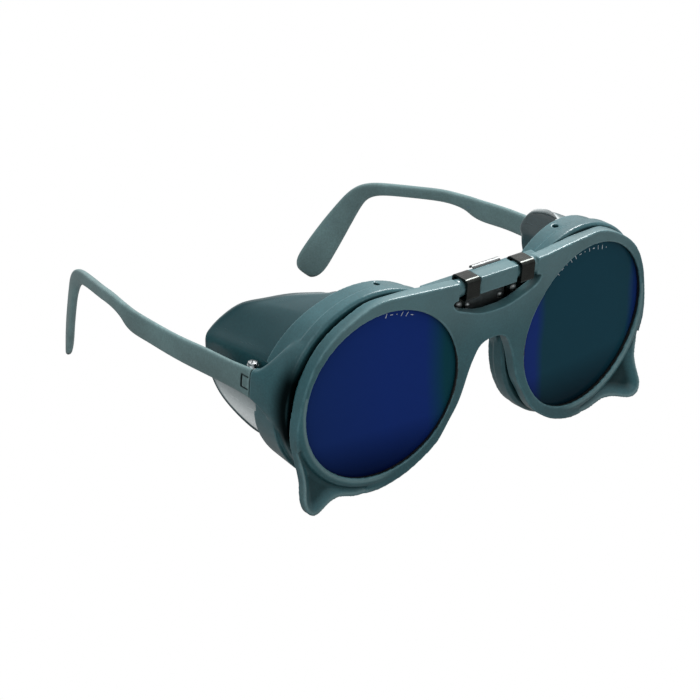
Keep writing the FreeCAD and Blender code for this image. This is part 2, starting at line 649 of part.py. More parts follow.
def front_hinge_leaf(sign):
    """Plate on the inside of the lug with an upper and a lower knuckle."""
    leaf = side_box(sign, LEAF_X, SEAT_X, 13.2, 19.2, LOWER_KNUCKLE[0], UPPER_KNUCKLE[1])
    for z0, z1 in (UPPER_KNUCKLE, LOWER_KNUCKLE):
        arm = side_box(sign, LEAF_X, SEAT_X, 19.0, HINGE_Y, z0, z1)
        leaf = leaf.fuse(hinge_cylinder(sign, KNUCKLE_RAD, z0, z1).fuse(arm))
    leaf = leaf.cut(hinge_cylinder(sign, dims["screw_rad"], -6, 14))
    for stud in front_studs(sign):
        leaf = leaf.fuse(stud)
    return leaf.removeSplitter()


def temple_hinge_leaf(sign):
    """Plate on the inside of the temple with the middle knuckle."""
    leaf = hinge_cylinder(sign, KNUCKLE_RAD, *MIDDLE_KNUCKLE)
    leaf = leaf.fuse(side_box(sign, LEAF_X, SEAT_X, HINGE_Y, 30.0, *MIDDLE_KNUCKLE))
    leaf = leaf.cut(hinge_cylinder(sign, dims["screw_rad"] + dims["run_gap"], -6, 14))
    for stud in temple_studs(sign):
        leaf = leaf.fuse(stud)
    return leaf.removeSplitter()


def add_screw(sign, side):
    """A turned pin with a slotted head on top of the upper knuckle."""
    name = "temple_screw_" + side
    shaft_rad, head_rad = dims["screw_rad"], dims["screw_head"]
    low, seat = -2.1, UPPER_KNUCKLE[1]
    body = new_body(name)
    profile = add_sketch(body, name + "_sketch", "XZ_Plane")
    draw_rounded(profile, [(0, low, 0), (shaft_rad, low, 0), (shaft_rad, seat, 0),
                           (head_rad, seat, 0), (head_rad, seat + 0.8, 0.3), (0, seat + 1.0, 0)])
    turned = body.newObject("PartDesign::Revolution", name + "_turned")
    turned.Profile = profile
    turned.ReferenceAxis = (profile, ["V_Axis"])
    turned.Angle = 360
    doc.recompute()
    slot = body.newObject("PartDesign::SubtractiveBox", name + "_slot")
    slot.Length = 4
    slot.Width = 0.5
    slot.Height = 0.5
    slot.Placement = Placement(Vector(-2, -0.25, seat + 0.6), Rotation())
    doc.recompute()
    finish_body(name, body, slot,
                Placement(Vector(sign * HINGE_X, HINGE_Y, 0), Rotation(Z_AXIS, 35)))


# ---------------------------------------------------------------- temples
# Plan line of the outer face, (x, y), before the tips are set back.
TEMPLE_PLAN = [
    (65.0, 20.0), (65.35, 26.0), (65.8, 34.0), (66.1, 42.0), (66.2, 50.0), (66.05, 58.0),
    (65.5, 65.0), (64.75, 71.0), (63.6, 77.5), (62.0, 84.0), (60.2, 90.0), (58.1, 96.0),
    (56.0, 102.0), (54.2, 107.0), (52.6, 111.0), (50.6, 114.4), (48.4, 117.6), (46.2, 120.4),
    (44.0, 122.8), (42.6, 124.2)]
# y (before the set-back) and z of the middle, height across the blade, thickness.
TEMPLE_STATIONS = [
    (20.0, 2.6, 8.6, 2.5), (22.5, 2.5, 8.1, 2.5), (26.0, 2.3, 7.6, 2.45), (31.0, 2.0, 7.4, 2.4),
    (38.0, 1.55, 7.4, 2.4), (46.0, 0.8, 7.1, 2.4), (54.0, 0.2, 6.8, 2.4), (62.0, -0.4, 6.6, 2.4),
    (67.5, -1.0, 6.6, 2.35), (71.0, -1.25, 6.4, 2.35), (73.2, -1.15, 5.9, 2.35),
    (75.4, -0.85, 5.0, 2.3), (78.0, -0.75, 4.2, 2.3), (81.0, -0.85, 3.85, 2.3),
    (85.0, -1.35, 3.75, 2.3), (90.0, -2.4, 3.7, 2.3), (96.0, -3.75, 3.7, 2.3),
    (101.5, -5.1, 3.8, 2.3), (105.5, -6.5, 4.2, 2.3), (108.6, -8.6, 5.0, 2.3),
    (110.9, -11.6, 5.9, 2.3), (112.9, -15.6, 6.8, 2.35), (115.0, -20.6, 7.8, 2.4),
    (117.2, -26.2, 8.7, 2.45), (119.0, -31.0, 9.2, 2.5), (120.3, -34.6, 9.2, 2.45),
    (121.1, -36.8, 8.3, 2.3), (121.6, -38.3, 6.4, 2.0), (121.85, -39.0, 4.2, 1.5)]
SECTION_POINTS = 16
SECTION_POWER = 0.6   # below 1 squares the oval section
INNER_TAPER = 0.10    # how much lower the section is on its inner face
# Bracket-shaped groove in the outer face beside the hinge: y0, y1, z0, z1.
GROOVES = [(22.6, 23.1, 0.8, 4.7), (19.0, 23.1, 4.25, 4.7), (19.0, 23.1, 0.8, 1.25)]


def set_back(y):
    """Moves the rear bend and the tip up to 3.3 further rearward."""
    return y + 3.0 * max(0.0, min(1.1, (y - 80.0) / 40.0))


def plan_at(curve, y):
    """Point and tangent of the plan curve at a given y, found by bisection."""
    low, high = curve.FirstParameter, curve.LastParameter
    for _ in range(40):
        middle = (low + high) / 2
        if curve.value(middle).y < y:
            low = middle
        else:
            high = middle
    return curve.value(low), curve.tangent(low)[0]


def temple_sections():
    """Points of each section of the left temple."""
    curve = Part.BSplineCurve()
    curve.interpolate([Vector(x, set_back(y), 0) for x, y in TEMPLE_PLAN])
    stations = []
    for y, z, height, thick in TEMPLE_STATIONS:
        point, tangent = plan_at(curve, set_back(y))
        outward = Vector(tangent.y, -tangent.x, 0)
        centre = Vector(point.x, set_back(y), z) - outward * (thick / 2)
        stations.append((centre, tangent, outward, height, thick))
    sections = []
    for i, (centre, tangent, outward, height, thick) in enumerate(stations):
        # The first section stays upright; the others lean with the slope of the blade.
        lean = tangent
        if i > 0:
            run = stations[min(len(stations) - 1, i + 1)][0] - stations[i - 1][0]
            lean = (tangent * math.hypot(run.x, run.y) + Vector(0, 0, run.z)).normalize()
        upward = outward.cross(lean)
        points = []
        for k in range(SECTION_POINTS):
            turn = 2 * math.pi * (k + 0.5) / SECTION_POINTS
            across, rise = [math.copysign(abs(part) ** SECTION_POWER, part)
                            for part in (math.cos(turn), math.sin(turn))]
            if across < 0:
                rise *= 1 + INNER_TAPER * across
            points.append(centre + outward * (across * thick / 2) + upward * (rise * height / 2))
        sections.append(points)
    return sections


def temple(sign, sections):
    wires = [Part.Wire([spline_edge([Vector(sign * p.x, p.y, p.z) for p in points], True)])
             for points in sections]
    blade = Part.makeLoft(wires, True, False)
    if blade.Volume < 0:
        blade = blade.copy()
        blade.reverse()
    blade = blade.cut(side_box(sign, 58.0, SEAT_X, 19.0, 30.3, -4.0, 9.0))
    for stud in temple_studs(sign):
        blade = blade.cut(stud)
    for limits in GROOVES:
        blade = blade.cut(side_box(sign, 64.75, 67.0, *limits))
    return blade


# ---------------------------------------------------------------- rear frame
def rear_frame():
    """Bridge, eye cups and lugs in one piece, then every seat, hole and clearance."""
    rear = polygon_face(at_depth(BRIDGE, BRIDGE_FRONT)).extrude(Y_AXIS * dims["bridge_thick"])
    for sign, _ in SIDES:
        rear = rear.fuse(cup(sign))
    for sign, _ in SIDES:
        rear = rear.fuse(lug(sign))
    for sign, _ in SIDES:
        rear = rear.cut(cup_void(sign))
    for sign, _ in SIDES:
        rear = rear.cut(peg(sign, 0.85, 24.0, 30.0))
    # Shallow relief in the bridge for the leaf to spring into.
    rear = rear.cut(Part.makeBox(11.0, 0.9, 6.0, Vector(-5.5, BRIDGE_FRONT, BRACKET_TOP)))
    # Seat for the bracket and the straps between the two cups.
    rear = rear.cut(Part.makeBox(28.0, 12.0, 20.0, Vector(-14.0, BRIDGE_FRONT - 12.0, 13.5)))
    for rivet in RIVETS:
        rear = rear.cut(rivet_hole(rivet))
    # Seats of the front hinge leaves.
    for sign, _ in SIDES:
        rear = rear.cut(side_box(sign, 58.0, SEAT_X, 12.9, 24.6, -1.9, 8.8))
        for stud in front_studs(sign):
            rear = rear.cut(stud)
    # Clearance between the lug ends and the temples, and for the front to swing.
    for sign, _ in SIDES:
        rear = rear.cut(side_box(sign, 58.0, 70.0, dims["lug_end"], 26.0, -6.0, 12.0))
    return rear.cut(swing_space(0.2)).removeSplitter()


# ---------------------------------------------------------------- build
add_feature("flip_frame", flip_frame())
add_feature("rear_frame", rear_frame())
add_feature("hinge_bracket", hinge_bracket())
add_feature("detent_leaf", detent_leaf())
add_feature("hinge_rivets", Part.makeCompound([rivet_solid(rivet) for rivet in RIVETS]))
blade_sections = temple_sections()
for sign, side in SIDES:
    add_lenses(sign, side)
    add_strap(sign, side)
    add_screw(sign, side)
    add_feature("side_shield_" + side, side_shield(sign))
    add_feature("front_hinge_leaf_" + side, front_hinge_leaf(sign))
    add_feature("temple_hinge_leaf_" + side, temple_hinge_leaf(sign))
    add_feature("temple_" + side, temple(sign, blade_sections))

doc.recompute()
for item in doc.Objects:
    faults = [state for state in item.State if state in ("Invalid", "Error")]
    if faults:
        raise RuntimeError("%s: %s" % (item.Label, faults))
os.makedirs("parts", exist_ok=True)
for name, item in parts.items():
    shape = item.Shape
    if shape.isNull() or not shape.isValid() or not shape.Solids or shape.Volume <= 0:
        raise RuntimeError("bad shape: " + name)
    shape.exportStep("parts/" + name + ".step")
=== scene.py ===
"""Flip-up welding spectacles, built over their CAD pieces.

The design frame is in millimetres: X to the wearer's left, +Y back along the temples, +Z up.
The scene frame is in metres, with the design pitched about X so that the temples rise
towards the back. A side's sign is -1 for the right and +1 for the left.
"""
import bpy, bmesh, math
import numpy as np
from mathutils import Matrix, Vector

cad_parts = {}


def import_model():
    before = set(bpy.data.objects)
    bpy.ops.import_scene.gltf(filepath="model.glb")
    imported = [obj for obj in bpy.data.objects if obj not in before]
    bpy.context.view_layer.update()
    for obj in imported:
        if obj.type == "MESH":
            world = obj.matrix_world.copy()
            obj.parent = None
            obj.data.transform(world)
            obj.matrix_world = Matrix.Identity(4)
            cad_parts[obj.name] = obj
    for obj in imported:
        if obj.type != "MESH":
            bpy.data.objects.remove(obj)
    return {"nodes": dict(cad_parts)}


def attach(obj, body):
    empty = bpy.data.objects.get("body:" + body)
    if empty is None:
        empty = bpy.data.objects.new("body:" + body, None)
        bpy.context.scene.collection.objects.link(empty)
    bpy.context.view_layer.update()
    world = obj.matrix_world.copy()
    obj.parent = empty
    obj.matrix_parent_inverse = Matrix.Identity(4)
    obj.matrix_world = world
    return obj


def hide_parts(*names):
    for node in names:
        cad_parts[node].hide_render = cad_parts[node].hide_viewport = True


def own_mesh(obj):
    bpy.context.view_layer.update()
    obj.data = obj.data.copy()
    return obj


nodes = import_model()["nodes"]
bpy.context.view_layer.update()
scene = bpy.context.scene

# ------------------------------------------------------------------ design frame
ROT = Matrix.Rotation(math.radians(5.337), 3, "X")   # pitch of the spectacles
SHIFT = Vector((0, -62.2763, 28.4713))
LENS_X = 36.24                                       # lens axis from the middle
WRAP = math.radians(5.57)                            # each lens turns back by this at its outer side
WRAP_COS, WRAP_SIN = math.cos(WRAP), math.sin(WRAP)
SIDES = ((-1, "right"), (1, "left"))


def to_scene(point):
    return (ROT @ Vector(point) + SHIFT) / 1000.0


def to_design(points):
    return (points * 1000.0 - np.array(SHIFT)) @ np.array(ROT)


def wing(sign, across, depth, z):
    """Design point from lens axes: across runs outwards, depth runs back."""
    return Vector((sign * (LENS_X + across * WRAP_COS - depth * WRAP_SIN),
                   across * WRAP_SIN + depth * WRAP_COS, z))


def polar(points, sign):
    """Across, depth, radius and angle (degrees, 0 outwards, 90 up) about one lens axis."""
    x = sign * points[:, 0] - LENS_X
    across = x * WRAP_COS + points[:, 1] * WRAP_SIN
    depth = -x * WRAP_SIN + points[:, 1] * WRAP_COS
    z = points[:, 2]
    return across, depth, np.hypot(across, z), np.degrees(np.arctan2(z, across))


# ------------------------------------------------------------------ shader helpers
BLACK = (0.0, 0.0, 0.0)


class Shader:
    """A node tree and short ways to add to it. Inputs take a number, a colour or a socket."""

    def __init__(self, owner, main="Principled BSDF"):
        owner.use_nodes = True
        self.tree = owner.node_tree
        self.main = self.tree.nodes[main]

    def feed(self, node, inputs):
        for key, value in inputs.items():
            socket = node.inputs[key]
            if isinstance(value, bpy.types.NodeSocket):
                self.tree.links.new(value, socket)
            elif socket.type == "RGBA":
                socket.default_value = (*value, 1.0)
            else:
                socket.default_value = value

    def add(self, kind, inputs={}, **settings):
        node = self.tree.nodes.new("ShaderNode" + kind)
        for key, value in settings.items():
            setattr(node, key, value)
        self.feed(node, inputs)
        return node

    def coords(self, output="Object"):
        return self.add("TexCoord").outputs[output]

    def attribute(self, name):
        return self.add("Attribute", attribute_name=name).outputs["Fac"]

    def ramp(self, value, *stops):
        """Each stop is (position, colour or grey level)."""
        node = self.add("ValToRGB", {"Fac": value})
        elements = node.color_ramp.elements
        while len(elements) < len(stops):
            elements.new(0.5)
        for element, (position, colour) in zip(elements, stops):
            element.position = position
            element.color = (*(colour if isinstance(colour, tuple) else (colour,) * 3), 1.0)
        return node.outputs["Color"]

    def mix(self, a, b, fac, mode="MIX"):
        return self.add("Mix", {0: fac, 6: a, 7: b}, data_type="RGBA", blend_type=mode).outputs[2]

    def calc(self, operation, *values, clamp=False):
        return self.add("Math", dict(enumerate(values)),
                        operation=operation, use_clamp=clamp).outputs[0]

    def noise(self, place, scale, detail=3.0, rough=0.5):
        return self.add("TexNoise", {"Scale": scale, "Detail": detail, "Roughness": rough,
                                     "Vector": place}).outputs["Fac"]

    def mapping(self, place, **inputs):
        return self.add("Mapping", {"Vector": place, **inputs}).outputs["Vector"]

    def bump(self, height, strength, distance, **inputs):
        return self.add("Bump", {"Height": height, "Strength": strength, "Distance": distance,
                                 **inputs}).outputs["Normal"]

    def occlusion(self, colour, reach, open_at):
        """Painted shade: darkening where surfaces close in on each other, from ambient occlusion."""
        ao = self.add("AmbientOcclusion", {"Distance": reach}, samples=8)
        shade = self.ramp(ao.outputs["AO"], (0.15, 0.05), (open_at, 1.0))
        return self.mix(colour, shade, fac=1.0, mode="MULTIPLY")

    def seen(self, rays):
        """1 where the surface is seen straight or through glass."""
        return self.calc("MAXIMUM", rays["Is Camera Ray"], rays["Is Transmission Ray"])


def new_material(name):
    material = bpy.data.materials.new(name)
    return material, Shader(material)


def scaled(colour, factor, offset=0.0):
    return tuple(min(1.0, c * factor + offset) for c in colour)


def srgb(*levels):
    """Linear colour from 8-bit sRGB levels, all above the curve's straight foot."""
    return tuple(((level / 255.0 + 0.055) / 1.055) ** 2.4 for level in levels)


# ------------------------------------------------------------------ materials
def nylon(name, base, rough, wear_and_highlight, scuff, reach):
    """Glass-filled nylon: fine grain, faint flow marks, paler edges that are partly wear and partly
    painted highlight, uneven gloss, painted shade in crevices and where marked, painted light where
    marked.

    wear_and_highlight: strength of the paler edges, partly wear and partly painted highlight; scuff:
    swing of roughness; reach: occlusion distance of the painted crevice shade.
    """
    material, sh = new_material(name)
    place = sh.coords()
    flow = sh.noise(place, scale=55.0, detail=4.0, rough=0.55)
    speck = sh.noise(place, scale=1900.0, detail=2.0, rough=0.6)
    colour = sh.ramp(flow, (0.30, scaled(base, 0.80)), (0.70, scaled(base, 1.22)))
    colour = sh.mix(colour, sh.ramp(speck, (0.35, 0.86), (0.68, 1.12)), fac=0.8, mode="MULTIPLY")
    edge = sh.attribute("edge")
    patches = sh.ramp(sh.noise(place, scale=420.0, rough=0.6), (0.38, 0.25), (0.62, 1.0))
    worn_and_highlit = sh.calc("MULTIPLY", sh.calc("MULTIPLY", edge, patches), wear_and_highlight, clamp=True)
    colour = sh.mix(colour, scaled(base, 1.6, offset=0.05), worn_and_highlit)
    # painted light: paler where marked
    colour = sh.mix(colour, (0.34, 0.46, 0.46), sh.attribute("painted_light"))
    # painted shade: occlusion darkens the crevices, and the marked painted shade darkens colour and
    # specular further
    colour = sh.occlusion(colour, reach, open_at=0.70)
    lit = sh.calc("SUBTRACT", 1.0, sh.attribute("painted_shade"), clamp=True)
    colour = sh.mix(BLACK, colour, lit)
    specular = sh.mix(BLACK, sh.occlusion((0.46,) * 3, reach, open_at=0.60), lit)
    stretched = sh.mapping(place, Scale=(1.0, 1.0, 1.6))
    gloss = sh.noise(stretched, scale=150.0, detail=2.0)
    grain = sh.bump(speck, strength=0.30, distance=0.00004)
    waves = sh.noise(place, scale=140.0, detail=2.0)
    sh.feed(sh.main, {
        "Base Color": colour,
        "Specular IOR Level": specular,
        "Roughness": sh.ramp(gloss, (0.35, rough - scuff), (0.65, rough + scuff)),
        "Normal": sh.bump(waves, strength=0.25, distance=0.0003, Normal=grain),
        "IOR": 1.5})
    return material


def metal(name, base, rough, scratch, hollow_colour=None):
    """Drawn or plated steel: lengthways brushing, cloudy tone, a darker colour in the low places."""
    material, sh = new_material(name)
    place = sh.coords()
    brushing = sh.noise(sh.mapping(place, Scale=(1.0, 14.0, 14.0)),
                        scale=320.0, detail=5.0, rough=0.65)
    cloud = sh.noise(place, scale=330.0, detail=4.0, rough=0.6)
    colour = sh.ramp(cloud, (0.3, scaled(base, 0.72)), (0.7, scaled(base, 1.2)))
    if hollow_colour:
        hollow = sh.add("NewGeometry").outputs["Pointiness"]
        colour = sh.mix(colour, hollow_colour, sh.ramp(hollow, (0.44, 1.0), (0.52, 0.0)))
    sh.feed(sh.main, {
        "Base Color": colour,
        "Roughness": sh.ramp(brushing, (0.3, rough - scratch), (0.7, rough + scratch)),
        "Metallic": 1.0,
        "Normal": sh.bump(brushing, strength=0.18, distance=0.00003)})
    return material


# black for the lens retaining rings, and painted shade on the walls of the lens openings
def black_ring():
    material, sh = new_material("black_ring")
    place = sh.coords()
    sh.feed(sh.main, {
        "Base Color": sh.ramp(sh.noise(place, scale=700.0), (0.3, 0.006), (0.7, 0.014)),
        "Roughness": sh.ramp(sh.noise(place, scale=200.0), (0.3, 0.28), (0.7, 0.45))})
    return material


def filter_glass():
    """Polished filter: a coating in bands of blue and teal, dust specks, faint wipe marks."""
    material, sh = new_material("filter_glass")
    place = sh.coords()
    axes = sh.add("SeparateXYZ", {0: place}).outputs
    # the bands cross the width, made wavy by noise and leaning with height
    wobble = sh.calc("SUBTRACT", sh.noise(place, scale=38.0, detail=2.0), 0.5)
    x = sh.calc("ADD", axes[0], sh.calc("MULTIPLY", wobble, 0.004))
    lean = sh.calc("MULTIPLY", sh.calc("SUBTRACT", axes[2], 0.028), 0.10)
    band = sh.calc("MULTIPLY_ADD", sh.calc("ADD", x, lean), 1.0 / 0.13, 0.5, clamp=True)
    blue, deep = (0.0095, 0.030, 0.175), (0.0095, 0.029, 0.140)
    teal, petrol = (0.0060, 0.052, 0.070), (0.0090, 0.050, 0.074)
    colour = sh.ramp(band, (0.05, deep), (0.24, blue), (0.335, blue), (0.385, teal), (0.52, teal),
                     (0.595, blue), (0.640, blue), (0.665, petrol), (0.93, petrol), (0.955, deep))
    # darker towards the bottom
    height = sh.calc("MULTIPLY_ADD", axes[2], 1.0 / 0.03, -0.10, clamp=True)
    shade = sh.ramp(height, (0.0, (0.03, 0.10, 0.13)), (0.50, 1.0))
    colour = sh.mix(colour, shade, fac=1.0, mode="MULTIPLY")
    cells = sh.add("TexVoronoi", {"Scale": 330.0, "Vector": place})
    dust = sh.ramp(cells.outputs["Distance"], (0.0, (0.10, 0.12, 0.14)), (0.028, BLACK))
    wiped = sh.mapping(place, Rotation=(0.3, 0.5, 0.2), Scale=(1.0, 1.0, 9.0))
    wipes = sh.noise(wiped, scale=60.0, detail=5.0, rough=0.6)
    sh.feed(sh.main, {
        "Base Color": sh.mix(colour, dust, fac=0.30, mode="ADD"),
        "Roughness": sh.ramp(wipes, (0.35, 0.03), (0.75, 0.11)),
        "IOR": 1.45,
        "Specular IOR Level": 0.05,
        "Specular Tint": (0.15, 0.60, 1.0)})
    return material


def clear_glass():
    material, sh = new_material("clear_glass")
    place = sh.coords()
    smears = sh.noise(place, scale=220.0, detail=5.0)
    sh.feed(sh.main, {
        "Base Color": sh.ramp(sh.noise(place, scale=40.0),
                              (0.4, (0.93, 0.97, 0.96)), (0.6, (0.88, 0.95, 0.94))),
        "Roughness": sh.ramp(smears, (0.4, 0.01), (0.7, 0.06)),
        "Transmission Weight": 1.0,
        "IOR": 1.12})
    return material


def shield_sheet():
    """Glossy moulded sheet: soft sheen, faint flow lines, fine scratches, painted light and painted
    shade where marked.
    """
    material, sh = new_material("shield_sheet")
    place = sh.coords()
    colour = sh.ramp(sh.noise(place, scale=45.0),
                     (0.3, (0.012, 0.062, 0.074)), (0.7, (0.020, 0.078, 0.090)))
    # painted light as near-white where marked, painted shade as near-black where marked
    colour = sh.mix(colour, (0.95, 1.0, 1.0), sh.attribute("painted_light"))
    colour = sh.mix(colour, (0.002, 0.003, 0.003), sh.attribute("painted_shade"))
    speck = sh.ramp(sh.noise(place, scale=1500.0, detail=2.0), (0.35, 0.92), (0.68, 1.06))
    stretched = sh.mapping(place, Scale=(1.0, 0.15, 1.0))
    scratches = sh.noise(stretched, scale=420.0, detail=6.0, rough=0.7)
    waves = sh.noise(place, scale=90.0, detail=2.0)
    sh.feed(sh.main, {
        "Base Color": sh.mix(colour, speck, fac=0.8, mode="MULTIPLY"),
        "Roughness": sh.ramp(scratches, (0.35, 0.16), (0.7, 0.30)),
        "Normal": sh.bump(waves, strength=0.15, distance=0.0003),
        "Specular IOR Level": 0.45,
        "Coat Weight": 0.15,
        "Coat Roughness": 0.12})
    return material


def etched_mark():
    material, sh = new_material("etched_mark")
    blotches = sh.noise(sh.coords(), scale=1600.0)
    sh.feed(sh.main, {
        "Base Color": sh.ramp(blotches, (0.35, (0.30, 0.33, 0.36)), (0.6, (0.75, 0.80, 0.84))),
        "Roughness": 0.7})
    return material


flip_nylon = nylon("nylon_flip", (0.032, 0.110, 0.127),
                   rough=0.32, wear_and_highlight=0.65, scuff=0.035, reach=0.0016)
rear_nylon = nylon("nylon_frame", (0.030, 0.105, 0.121),
                   rough=0.33, wear_and_highlight=0.60, scuff=0.035, reach=0.0045)
temple_nylon = nylon("nylon_temple", (0.125, 0.210, 0.214),
                     rough=0.40, wear_and_highlight=0.45, scuff=0.04, reach=0.003)
strap_steel = metal("blackened_spring_steel", (0.050, 0.054, 0.050),
                    rough=0.24, scratch=0.07, hollow_colour=(0.004, 0.005, 0.005))
rivet_steel = metal("rivet_steel", (0.26, 0.27, 0.27), rough=0.34, scratch=0.08, hollow_colour=(0.02,) * 3)
leaf_steel = metal("spring_leaf", (0.20, 0.21, 0.21), rough=0.42, scratch=0.10, hollow_colour=(0.05,) * 3)
screw_steel = metal("screw_steel", (0.52, 0.54, 0.55), rough=0.26, scratch=0.08, hollow_colour=(0.03,) * 3)
plated_steel = metal("plated_steel", srgb(222, 224, 226), rough=0.18, scratch=0.08)
black_for_rings_and_wall_shade = black_ring()
tinted_glass = filter_glass()
clear = clear_glass()
sheet = shield_sheet()
mark_white = etched_mark()


# ------------------------------------------------------------------ mesh and tuning helpers
def assign(piece, material):
    piece.data.materials.clear()
    piece.data.materials.append(material)


def shade_smooth(piece):
    for polygon in piece.data.polygons:
        polygon.use_smooth = True


def mesh_object(name, verts, faces):
    mesh = bpy.data.meshes.new(name)
    mesh.from_pydata([tuple(v) for v in verts], [], faces)
    mesh.update()
    piece = bpy.data.objects.new(name, mesh)
    scene.collection.objects.link(piece)
    return piece


def bake(piece):
    """Turn the modifiers into plain mesh."""
    depsgraph = bpy.context.evaluated_depsgraph_get()
    mesh = bpy.data.meshes.new_from_object(piece.evaluated_get(depsgraph))
    piece.modifiers.clear()
    piece.data = mesh


def vectors(items, attribute):
    flat = np.empty(len(items) * 3)
    items.foreach_get(attribute, flat)
    return flat.reshape(-1, 3)


def move_vertices(mesh, points):
    mesh.vertices.foreach_set("co", np.ascontiguousarray(points.reshape(-1)))
    mesh.update()


def design_points(piece):
    return to_design(vectors(piece.data.vertices, "co"))


def paint(piece, name, values):
    layer = piece.data.attributes.new(name, "FLOAT", "POINT")
    layer.data.foreach_set("value", np.ascontiguousarray(values, dtype=np.float32))


def hump(x, centre, width):
    """Bell curve, 1 at its centre."""
    return np.exp(-((x - centre) / width) ** 2)


def rise(x, start, end):
    """Smooth step from 0 at start to 1 at end."""
    t = np.clip((x - start) / (end - start), 0, 1)
    return t * t * (3 - 2 * t)


def fall(x, start, end):
    """Smooth step from 1 at start to 0 at end."""
    return 1 - rise(x, start, end)


def window(x, rise_start, rise_end, fall_start, fall_end):
    return rise(x, rise_start, rise_end) * fall(x, fall_start, fall_end)


def path_distance(points, path):
    """Distance from each point to a polyline."""
    nearest = np.full(len(points), 99.0)
    for start, end in zip(path[:-1], path[1:]):
        edge = end - start
        along = np.clip((points - start) @ edge / (edge @ edge + 1e-9), 0, 1)
        gap = np.linalg.norm(points - start - along[:, None] * edge, axis=1)
        nearest = np.minimum(nearest, gap)
    return nearest


def catmull(points, count):
    """Rows along a smooth curve through the given rows."""
    points = np.array(points, float)
    ext = np.vstack([2 * points[0] - points[1], points, 2 * points[-1] - points[-2]])
    spans = len(points) - 1
    out = []
    for k in range(count):
        t = k / (count - 1) * spans
        i = min(int(t), spans - 1)
        f = t - i
        p0, p1, p2, p3 = ext[i:i + 4]
        out.append(0.5 * ((2 * p1) + (-p0 + p2) * f + (2 * p0 - 5 * p1 + 4 * p2 - p3) * f ** 2
                          + (-p0 + 3 * p1 - 3 * p2 + p3) * f ** 3))
    return np.array(out)


# ------------------------------------------------------------------ moulded bodies
VOXEL = 0.00022   # metres
WELD = 2e-6                                  # metres
# edge bend, as a fraction of a voxel
FLAT_BEND, FLAT_FADE = 0.008, 0.014          # levelling stops above the first, over the second
WEAR_HIGHLIGHT_BEND, WEAR_HIGHLIGHT_FADE = 0.018, 0.040          # the paler edges, partly wear and partly painted highlight, start above the first, over the second


def moulded(name, rounding, body, material):
    """The CAD piece with every edge rounded as a moulding tool would leave it."""
    mesh = nodes[name].data.copy()
    piece = bpy.data.objects.new(name + "_moulded", mesh)
    scene.collection.objects.link(piece)
    # the voxel grid is laid square to the design frame
    bm = bmesh.new()
    bm.from_mesh(mesh)
    bmesh.ops.remove_doubles(bm, verts=bm.verts, dist=WELD)
    bmesh.ops.transform(bm, matrix=ROT.to_4x4().inverted(), verts=bm.verts)
    bm.to_mesh(mesh)
    bm.free()
    remesh = piece.modifiers.new("remesh", "REMESH")
    remesh.mode = "VOXEL"
    remesh.voxel_size = VOXEL
    remesh.adaptivity = 0.0
    smoothing = piece.modifiers.new("smooth", "SMOOTH")
    smoothing.factor = 0.5
    smoothing.iterations = rounding
    bake(piece)
    piece.data.transform(ROT.to_4x4())
    shade_smooth(piece)
    assign(piece, material)
    even_out(piece)
    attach(piece, body)
    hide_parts(name)
    return piece


def even_out(piece):
    """Level the flat faces, keep the rounded edges, and note where the convex edges run."""
    mesh = piece.data
    count = len(mesh.vertices)
    points = vectors(mesh.vertices, "co")
    edges = np.empty(len(mesh.edges) * 2, np.int64)
    mesh.edges.foreach_get("vertices", edges)
    a, b = edges.reshape(-1, 2).T
    neighbours = np.maximum(np.bincount(edges, minlength=count), 1).astype(float)

    def mean(field):
        """Mean of each vertex's neighbours."""
        if field.ndim == 1:
            return (np.bincount(a, field[b], count) + np.bincount(b, field[a], count)) / neighbours
        return np.stack([mean(column) for column in field.T], 1)

    def bend():
        """Height above the neighbours along the normal, in voxels, blurred."""
        height = ((points - mean(points)) * vectors(mesh.vertices, "normal")).sum(axis=1) / VOXEL
        for _ in range(6):
            height = 0.4 * height + 0.6 * mean(height)
        return height

    curved = np.abs(bend())
    for _ in range(3):
        curved = np.maximum(curved, mean(curved))
    flat = (1 - np.clip((curved - FLAT_BEND) / FLAT_FADE, 0, 1))[:, None]
    for _ in range(30):
        points = points + 0.6 * flat * (mean(points) - points)
    move_vertices(mesh, points)
    paint(piece, "edge", rise(bend(), WEAR_HIGHLIGHT_BEND, WEAR_HIGHLIGHT_BEND + WEAR_HIGHLIGHT_FADE))


flip = moulded("flip_frame", 8, "flip_front", flip_nylon)
rear = moulded("rear_frame", 8, "root", rear_nylon)

# ------------------------------------------------------------------ flip frame relief
# radii about a lens axis, mm
BEAD_RADIUS, GROOVE_RADIUS = 25.2, 27.1
RING_WIDTH = 0.75
# heights, mm
BEAD_HEIGHT, GROOVE_DEPTH, DISH_DEPTH, LIP_HEIGHT = 0.28, 0.34, 0.80, 0.32


def wing_outline(across, z, radius, angle, near):
    """Outermost points of one wing, one for each degree where it has any."""
    outline = []
    for k in np.arange(-120, 80, 1.0):
        chosen = near & (np.abs(angle - k) < 0.7)
        if chosen.any():
            reach = radius[chosen].max()
            outline.append((reach * math.cos(math.radians(k)), reach * math.sin(math.radians(k))))
    return np.array(outline)


